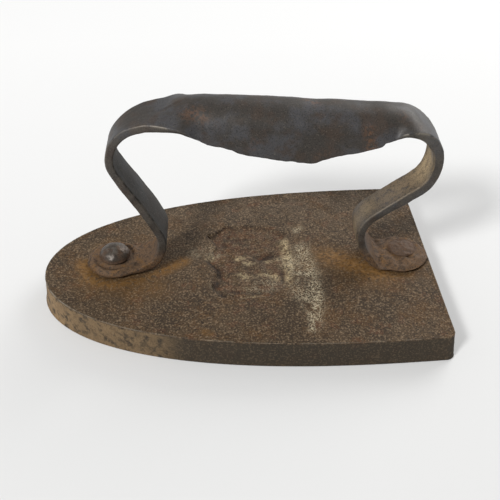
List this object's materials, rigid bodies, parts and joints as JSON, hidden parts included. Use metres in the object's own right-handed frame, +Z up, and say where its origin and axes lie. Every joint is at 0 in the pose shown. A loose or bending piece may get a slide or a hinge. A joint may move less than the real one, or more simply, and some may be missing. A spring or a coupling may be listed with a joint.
{
  "type": "flat iron",
  "caption": "Antique stove-heated clothes iron: boat-shaped cast-iron slab with a riveted, forged strap handle folded into a gutter grip.",
  "frame": {"origin": "centre of the bounding box at the ironing face", "axes": "+X towards the heel, the nose points to -X; +Z up from the ironing face; +Y to the right-hand side when looking from the heel to the nose"},
  "size_m": [0.1674, 0.103, 0.092],
  "materials": {
    "cast_iron": "sand-cast, dull brown rust patina",
    "forged_iron": "hammered wrought iron, hand-polished dark scale",
    "rivet_iron": "peened wrought iron, worn grey"
  },
  "bodies": {
    "root": {"sole_slab": "cast_iron", "handle_strap": "forged_iron", "front_rivet": "rivet_iron", "rear_rivet": "rivet_iron"}
  },
  "joints": []
}
